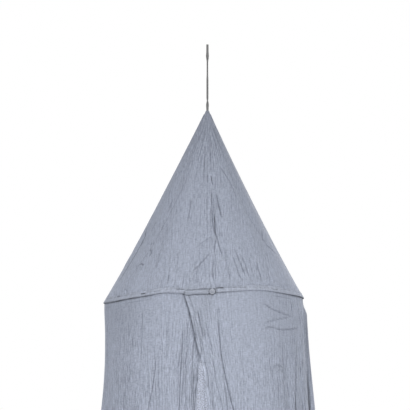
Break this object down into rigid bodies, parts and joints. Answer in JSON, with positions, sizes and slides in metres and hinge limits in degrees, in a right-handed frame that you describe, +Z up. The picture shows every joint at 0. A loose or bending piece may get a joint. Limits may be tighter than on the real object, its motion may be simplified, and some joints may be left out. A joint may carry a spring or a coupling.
{
  "type": "bed canopy with hoop",
  "caption": "Hanging bed canopy: looped tape, straight cone of crinkled cloth, thin banded hoop, and a long folded curtain open at the front, with a buttoned tab over the opening.",
  "frame": {"origin": "where the ceiling hook bears, inside the top of the tape's loop", "axes": "+Z up, -Y towards the front opening, +X to the right of someone who stands in front of it"},
  "size_m": [0.6387, 0.5792, 2.3635],
  "materials": {
    "roof_cloth": "matte crinkled cotton",
    "curtain_cloth": "matte crinkled cotton",
    "band_cloth": "matte crinkled cotton, stitched",
    "tape_weave": "matte woven tape",
    "hoop_plastic": "satin",
    "button_plastic": "satin"
  },
  "bodies": {
    "root": {"hanging_tape": "tape_weave", "roof_front": "roof_cloth", "roof_back": "roof_cloth", "hoop": "hoop_plastic", "hoop_band": "band_cloth", "closure_tab": "band_cloth", "button": "button_plastic", "curtain_left": "curtain_cloth", "curtain_right": "curtain_cloth"}
  },
  "joints": []
}
